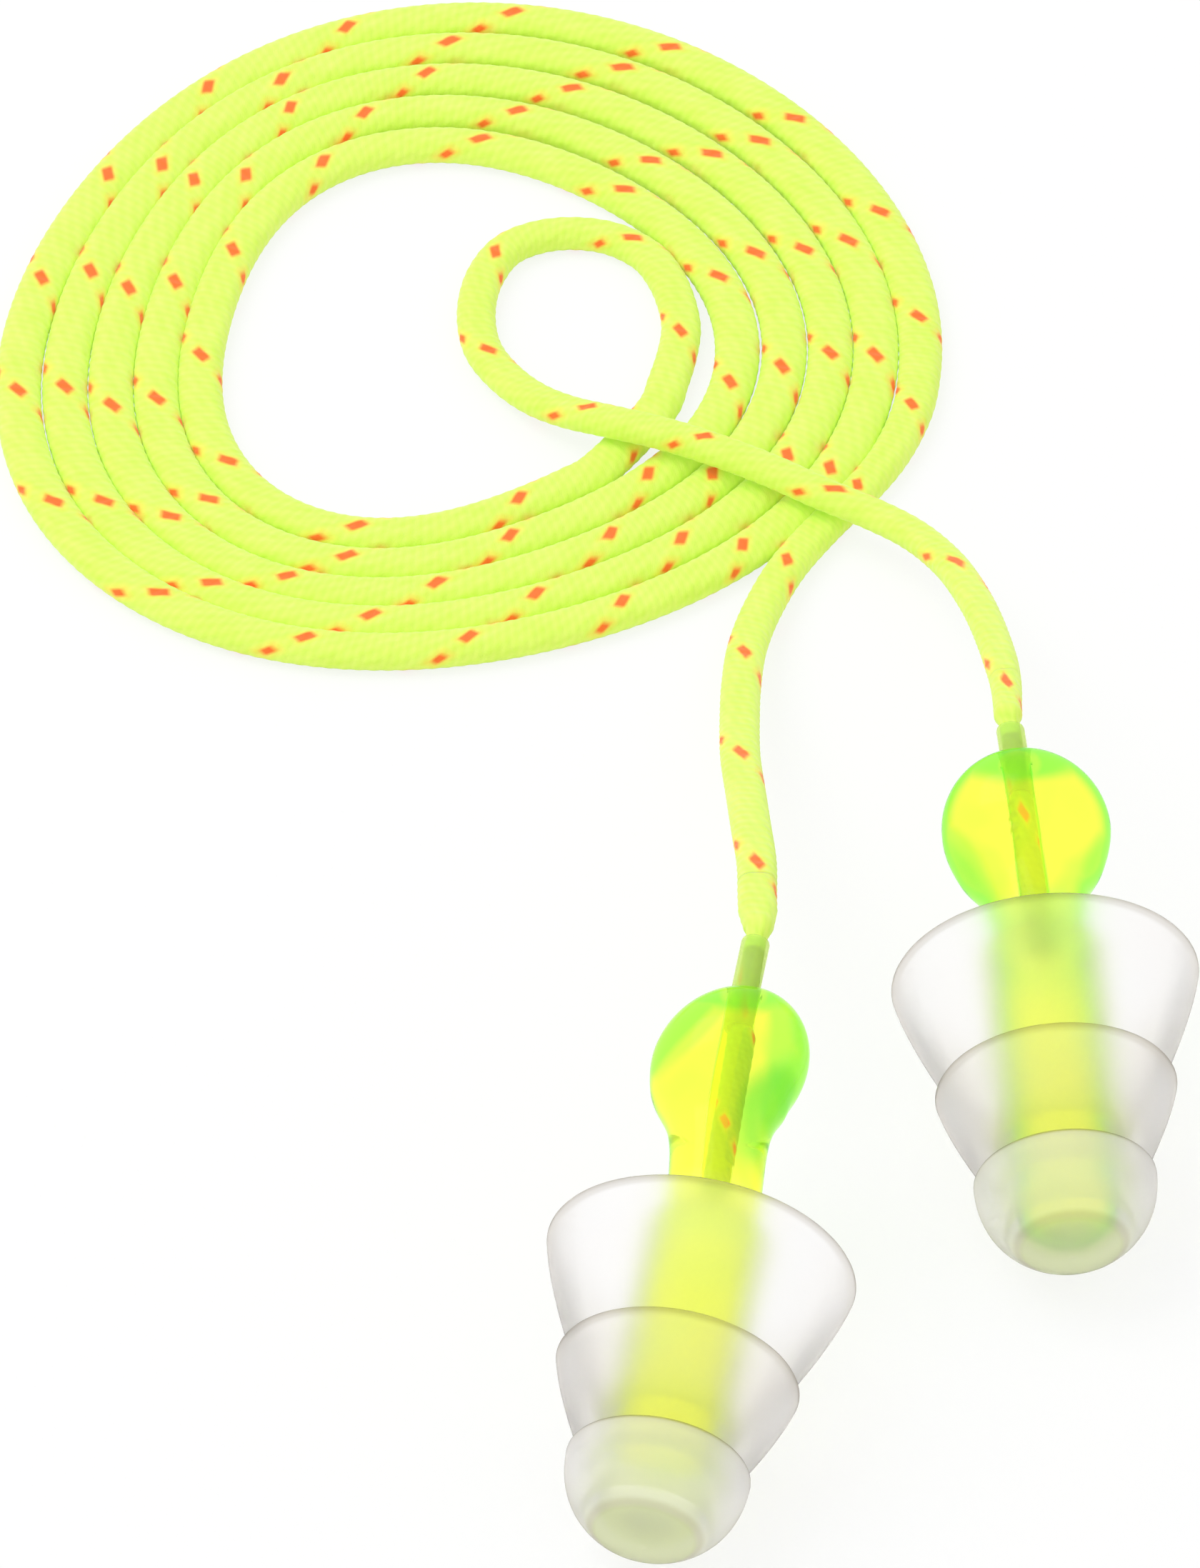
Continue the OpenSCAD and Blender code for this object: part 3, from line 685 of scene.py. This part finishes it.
# How far the bending piece reaches into the sleeve, in rings, and where the inner piece starts, in mm
STEPS_INTO_SLEEVE, INNER_START = 12, 0.5
for side in SIDES:
    mouth = in_bore(side, BULB_TOP + SLEEVE_OUT[side])
    inner = in_bore(side, -CORD_DEPTH)
    sign = -1 if side == "left" else 1
    # From the main piece, over the bending point, into the sleeve's mouth
    part = cut(0, NECK) if side == "left" else cut(CORD_LENGTH - NECK, CORD_LENGTH)
    line, walk = in_order(side, LINE[part], ALONG[part])
    ahead = (mouth - line[-1]) / np.linalg.norm(mouth - line[-1])
    steps = np.arange(1, STEPS_INTO_SLEEVE + 1) * RING_STEP
    line = np.vstack([line, line[-1] + ahead * steps[:, None]])
    walk = np.concatenate([walk, walk[-1] + sign * steps])
    past = sign * (walk - (CORD_LENGTH if side == "right" else 0))
    slim = np.interp(past, [SLIM_FROM, SLIM_TO], [1, IN_SLEEVE_WIDTH / END_WIDTH])
    neck_width = np.interp(walk, *np.array(WIDTHS).T) * slim
    neck_thick = np.interp(past, [-END_LEN, 0], [THICK, END_THICK]) * slim
    last = walk[-1]
    line, walk, neck_width, neck_thick = in_order(side, line, walk, neck_width, neck_thick)
    rings = section_rings(line, walk, neck_width, neck_thick)
    neck = dress(rings_mesh(f"{side}_cord_neck", rings, tracer_turns(walk)), CORD)
    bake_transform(neck)
    # Inside the sleeve and the grip
    way = (inner - mouth) / np.linalg.norm(inner - mouth)
    deep = np.linalg.norm(inner - mouth)
    in_sleeve = SLEEVE_OUT[side] + SLEEVE_SEAT
    steps = np.arange(INNER_START, deep, RING_STEP)
    wide = np.interp(steps, [in_sleeve, in_sleeve + WIDEN_LEN], [IN_SLEEVE_WIDTH, IN_GRIP_WIDTH])
    line, walk, wide = in_order(side, mouth + way * steps[:, None], last + sign * steps, wide)
    rings = section_rings(line, walk, wide, wide)
    # The cord inside the grip wears the copy with painted shade
    end = dress(rings_mesh(f"{side}_cord_in_grip", rings, tracer_turns(walk)),
                CORD_PAINTED_SHADE, f"{side}_plug")
    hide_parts(f"{side}_cord_end")


# ---------------------------------------------------------------- tips, grips and sleeves
ROUND_STEPS = 160
TURN = np.linspace(0, 2 * math.pi, ROUND_STEPS, endpoint=False)
ROUND_X, ROUND_Y = np.cos(TURN), np.sin(TURN)


def in_frame(side, rings):
    """Rings in a plug's own axes, in mm, as rings in the row frame, in metres."""
    frame_of = np.array(PLUG[side])
    return rings * MM @ frame_of[:3, :3].T + frame_of[:3, 3]


def lathe(name, side, profile, lean=None):
    """Turns a profile of (radius, height) in mm about the plug's own axis. lean moves a height sideways.
    A third and fourth value of a row go into the UV map."""
    r, z, *marks = np.array(profile).T
    x = r[:, None] * ROUND_X + (lean(z)[:, None] if lean else 0)
    y = r[:, None] * ROUND_Y
    rings = np.stack([x, y, np.broadcast_to(z[:, None], x.shape)], axis=-1)
    return rings_mesh(name, in_frame(side, rings), *marks)


# The flanges from the nose up: number, rim's radius, place of the rim, length outside and depth inside
NOSE, FLANGES = 3, [(3, 3.85, 10.1, NOSE_POS - 10.1, 2.7), (2, 5.1, 5.6, 5.6, 5.2), (1, 6.5, 0, 8.8, 8.4)]
# How full the curve of a flange and of the nose is, along it and across it
FLANGE_FULL, NOSE_FULL = (1.25, 1.05), (2.3, 2)
WALL, LIP_STEPS, CURVE_STEPS = 0.4, 9, 26
# The core tube and the stem's hole in it, and how near the core the stem's painted glow starts
CORE_R, CORE_BACK, CORE_BUILT_FROM, MOUTH_ROUND, MOUTH_CORNER = 2.6, 1.35, -8, 0.15, 0.04
HOLE_R, HOLE_POS, HOLE_ROUND, HOLE_CORNER, HOLE_BEVEL = 2.02, 12.6, 0.4, 0.12, 0.08
TINT_R = 3.3


def fall(r, r_end, length, full):
    """The curve of a flange or of the nose past its lip: radius r at the rim, r_end at length, as
    (radius, depth)."""
    start = math.asin((WALL / 2 / length) ** (full[0] / 2))
    return [(r_end + (r - r_end) * max(math.cos(t), 0) ** (2 / full[1]),
             length * math.sin(t) ** (2 / full[0])) for t in np.linspace(start, math.pi / 2, CURVE_STEPS)]


def lip(r):
    """The rounded lip of a flange, from its outside to its inside, as (radius, depth)."""
    return [(r - WALL / 2 + WALL / 2 * math.cos(t), WALL / 2 * (1 - math.sin(t)))
            for t in np.linspace(0, math.pi, LIP_STEPS)[1:-1]]


def near_core(radius):
    """1 on the core tube, which takes the painted glow of the stem inside, and 0 away from it."""
    return min(max((TINT_R - radius) / (TINT_R - CORE_R), 0), 1)


def tip_profile():
    """One loop from the nose over the three flanges to the core's mouth and down the stem's hole:
    rows of radius, height, distance from the nearest lip, and the stem's painted glow, or -1 on the nose."""
    rows, lips = [], []
    for number, r, pos, length, hollow in FLANGES:
        end_r, full = (0, NOSE_FULL) if number == NOSE else (CORE_R, FLANGE_FULL)
        rows += [(radius, -pos - depth, -1 if number == NOSE else near_core(radius))
                 for radius, depth in fall(r, end_r, length, full)[::-1]]
        rows += [(radius, -pos - depth, 0) for radius, depth in lip(r)]
        rows += [(radius, -pos - depth, near_core(radius))
                 for radius, depth in fall(r - WALL, CORE_R, hollow, FLANGE_FULL)]
        lips.append((r - WALL / 2, -pos))
    rows += [(CORE_R, z, 1) for z in np.linspace(CORE_BUILT_FROM, CORE_BACK - MOUTH_ROUND, 8)]
    rows += [(CORE_R - MOUTH_CORNER, CORE_BACK - MOUTH_CORNER, 1), (CORE_R - MOUTH_ROUND, CORE_BACK, 1),
             (HOLE_R + HOLE_BEVEL, CORE_BACK, 1), (HOLE_R, CORE_BACK - HOLE_BEVEL, 1)]
    rows += [(HOLE_R, z, 1) for z in np.linspace(0, -HOLE_POS + HOLE_ROUND, 12)]
    rows += [(HOLE_R - HOLE_CORNER, -HOLE_POS + HOLE_CORNER, 1), (HOLE_R - HOLE_ROUND, -HOLE_POS, 1),
             (0, -HOLE_POS, 1)]
    rows[0] = (0, rows[0][1], -1)
    return [(r, z, min(math.dist((r, z), place) for place in lips), mark) for r, z, mark in rows]


STEM_STEPS, BULB_STEPS, BORE_STEPS = 14, 76, 18
# In mm: the stem's rounded end and its middle, the gap below the neck, the bore and where its wall starts
STEM_ROUND, STEM_MIDDLE, NECK_GAP, BORE_R, BORE_TOP = 0.3, 0.02, 0.1, SLEEVE_R + 0.02, BULB_TOP - 0.3
BORE_CLOSED = np.array([0.03, 0.03, 1])
# How softly a sleeve's mouth is rounded
SLEEVE_SOFT = 0.06
# The angles from the sleeve, in degrees, over which the bulb turns into the neck
NECK_FROM, NECK_OVER = 85, 40


def grip_rings(side):
    """Rings from the stem's end over the neck and the bulb into the cord's bore, in the plug's axes."""
    def ring_at(r, z):
        return np.stack([r * ROUND_X, r * ROUND_Y, np.full(ROUND_STEPS, z)], axis=-1)

    bulb_z = bulb_place(side)[1]
    stem_end = BULB_POS[side] - STEM_LEN
    rings = [ring_at(STEM_MIDDLE, stem_end), ring_at(STEM_R - STEM_ROUND, stem_end)]
    rings += [ring_at(STEM_R, z)
              for z in np.linspace(stem_end + STEM_ROUND, NECK_START - NECK_GAP, STEM_STEPS)]

    # The bulb's flat direction, and its surface by the angle from the sleeve, joined smoothly to the neck
    flat = np.array([math.cos(BULB_LEAN) * math.cos(ROLL[side]), math.cos(BULB_LEAN) * math.sin(ROLL[side]),
                     -math.sin(BULB_LEAN)])
    last = math.pi - math.atan2(STEM_R, bulb_z - NECK_START)
    for polar in np.linspace(last, math.asin(BORE_R / BULB_TOP), BULB_STEPS):
        way = ring_at(math.sin(polar), math.cos(polar))
        along_flat = (way @ flat) ** 2
        bulb = 1 / np.sqrt(along_flat / BULB_HALF ** 2 + (1 - along_flat) / BULB_R ** 2)
        t = min(max((math.degrees(polar) - NECK_FROM) / NECK_OVER, 0), 1)
        neck = STEM_R / math.sin(polar) * t * t * (3 - 2 * t)
        rings.append(way * ((bulb ** BULB_BLEND + neck ** BULB_BLEND) ** (1 / BULB_BLEND))[:, None]
                     + np.array([0, 0, bulb_z]))
    rings += [ring_at(BORE_R, z) for z in np.linspace(bulb_z + BORE_TOP, bulb_z - CORD_DEPTH, BORE_STEPS)]
    rings.append(rings[-1] * BORE_CLOSED)
    rings = np.array(rings)
    rings[..., 0] += aside(side, rings[..., 2])
    return rings


GRIP = {side: grip_material(side) for side in SIDES}
for side in SIDES:
    body = f"{side}_plug"
    tip = dress(lathe(f"{side}_soft_tip", side, tip_profile()), TIP, body)
    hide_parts(f"{side}_tip")

    grip = dress(rings_mesh(f"{side}_clear_grip", in_frame(side, grip_rings(side))), GRIP[side], body)
    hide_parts(f"{side}_grip")
    bulb_z = bulb_place(side)[1]
    low, high = bulb_z + BULB_TOP - SLEEVE_SEAT, bulb_z + BULB_TOP + SLEEVE_OUT[side]
    soft, middle = SLEEVE_SOFT, (low + high) / 2
    tube = [(SLEEVE_HOLE_R, low), (SLEEVE_R, low), (SLEEVE_R, middle), (SLEEVE_R, high - 2 * soft),
            (SLEEVE_R - soft / 2, high - soft / 2), (SLEEVE_R - soft, high), (SLEEVE_HOLE_R + soft / 2, high),
            (SLEEVE_HOLE_R, high - soft / 2), (SLEEVE_HOLE_R, middle), (SLEEVE_HOLE_R, low)]
    sleeve = dress(lathe(f"{side}_cord_sleeve", side, tube, lambda z: aside(side, z)), SLEEVE, body)
    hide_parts(f"{side}_sleeve")


# ---------------------------------------------------------------- floor, world and lights
def rays(nodes):
    """Two outputs that are 1 or 0: for the camera's own rays, and for rays in gloss and glass."""
    path = nodes.add("ShaderNodeLightPath").outputs
    return path["Is Camera Ray"], nodes.calc("MAXIMUM", path["Is Glossy Ray"], path["Is Transmission Ray"])


WHITE = (1, 1, 1, 1)
# The floor's matt colour, and the share of the shadow on it that shows
FLOOR_HALF, FLOOR_MATT, SHADOW_KEPT = 2.0, (0.98, 0.98, 0.98, 1), 0.2
floor = add_mesh("floor", [(-FLOOR_HALF, -FLOOR_HALF, 0), (FLOOR_HALF, -FLOOR_HALF, 0),
                           (FLOOR_HALF, FLOOR_HALF, 0), (-FLOOR_HALF, FLOOR_HALF, 0)], [(0, 1, 2, 3)])
nodes = new_material("floor_white")
of_camera, in_glass = rays(nodes)
white = nodes.add("ShaderNodeEmission", {"Color": WHITE, "Strength": 1.0})
matt = nodes.add("ShaderNodeBsdfDiffuse", {"Color": FLOOR_MATT})
lit = nodes.calc("MULTIPLY", nodes.calc("MAXIMUM", of_camera, in_glass),
                 nodes.calc("MAXIMUM", 1 - SHADOW_KEPT, in_glass))
floor.data.materials.append(nodes.finish(nodes.both(lit, matt, white)))

# The sky as a light, and as it shows in gloss and glass
SKY_LIGHT, SKY_SHOWN = 0.8, 1.0
bpy.context.scene.world = bpy.data.worlds.new("studio")
nodes = Nodes(bpy.context.scene.world)
sky, shown_sky = [nodes.add("ShaderNodeBackground", {"Color": WHITE, "Strength": strength})
                  for strength in (SKY_LIGHT, SKY_SHOWN)]
nodes.finish(nodes.both(rays(nodes)[1], sky, shown_sky), "ShaderNodeOutputWorld")


def softbox(name, place, size, power):
    """A square lamp, in metres and watts, that faces the middle of the parts."""
    data = bpy.data.lights.new(name, "AREA")
    data.shape, data.size, data.energy = "SQUARE", size, power
    light = bpy.data.objects.new(name, data)
    bpy.context.scene.collection.objects.link(light)
    light.location = Vector(place)
    light.rotation_euler = (CAMERA_AIM - light.location).to_track_quat("-Z", "Y").to_euler()


softbox("key", (-0.35, 0.15, 0.6), 0.5, 1.6)
bpy.context.scene.view_settings.view_transform = "Standard"


# ---------------------------------------------------------------- records of the fit
def corners(obj):
    return [obj.matrix_world @ v.co for v in obj.data.vertices]


def tree_of(objects):
    """One search tree of all the faces of some objects."""
    places, faces = [], []
    for obj in objects:
        faces += [[len(places) + k for k in polygon.vertices] for polygon in obj.data.polygons]
        places += corners(obj)
    return BVHTree.FromPolygons(places, faces)


bpy.context.view_layer.update()
pieces = {obj.name: obj for obj in bpy.data.objects if obj.type == "MESH" and obj != floor}
all_tree = tree_of(pieces.values())
SEEN_WITHIN = 0.3 * MM


def shows(place):
    """Whether the camera sees a place, or nearly so."""
    start, way = ray_of(image_of(place))
    hit = all_tree.ray_cast(start, way)[0]
    return hit is not None and ((hit - start).length > (place - start).length - SEEN_WITHIN)


def edge(side, piece, way, low=-100, high=100):
    """The image point of a piece's shown vertex that is farthest one way, between two heights in mm."""
    into = PLUG[side].inverted()
    places = [p for p in corners(pieces[f"{side}_{piece}"]) if low <= (into @ p).z / MM <= high]
    for place in sorted(places, key=lambda p: -way[0] * image_of(p)[0] - way[1] * image_of(p)[1]):
        if shows(place):
            return image_of(place)
    return None


LEFTMOST, RIGHTMOST, HIGHEST, LOWEST = (-1, 0), (1, 0), (0, -1), (0, 1)
RIM_2, BULB = (-7, -5.6), (4, 100)
found = {
    "left_tip_rim_1_left": edge("left", "soft_tip", LEFTMOST),
    "left_tip_rim_1_right": edge("left", "soft_tip", RIGHTMOST),
    "left_tip_rim_2_left": edge("left", "soft_tip", LEFTMOST, *RIM_2),
    "left_tip_rim_2_right": edge("left", "soft_tip", RIGHTMOST, *RIM_2),
    "left_tip_nose_bottom": edge("left", "soft_tip", LOWEST),
    "left_grip_left": edge("left", "clear_grip", LEFTMOST, *BULB),
    "right_tip_rim_1_left": edge("right", "soft_tip", LEFTMOST),
    "right_tip_rim_1_right": edge("right", "soft_tip", RIGHTMOST),
    "right_tip_rim_2_right": edge("right", "soft_tip", RIGHTMOST, *RIM_2),
    "right_tip_nose_bottom": edge("right", "soft_tip", LOWEST),
    "right_grip_top": edge("right", "clear_grip", HIGHEST, *BULB)}
for turns, name in FLECKS.items():
    nearest = int(np.argmin(np.abs(ALONG - TRACER[turns])))
    found[name] = image_of(all_rings[nearest, int(TOP * SIDES_ROUND)])
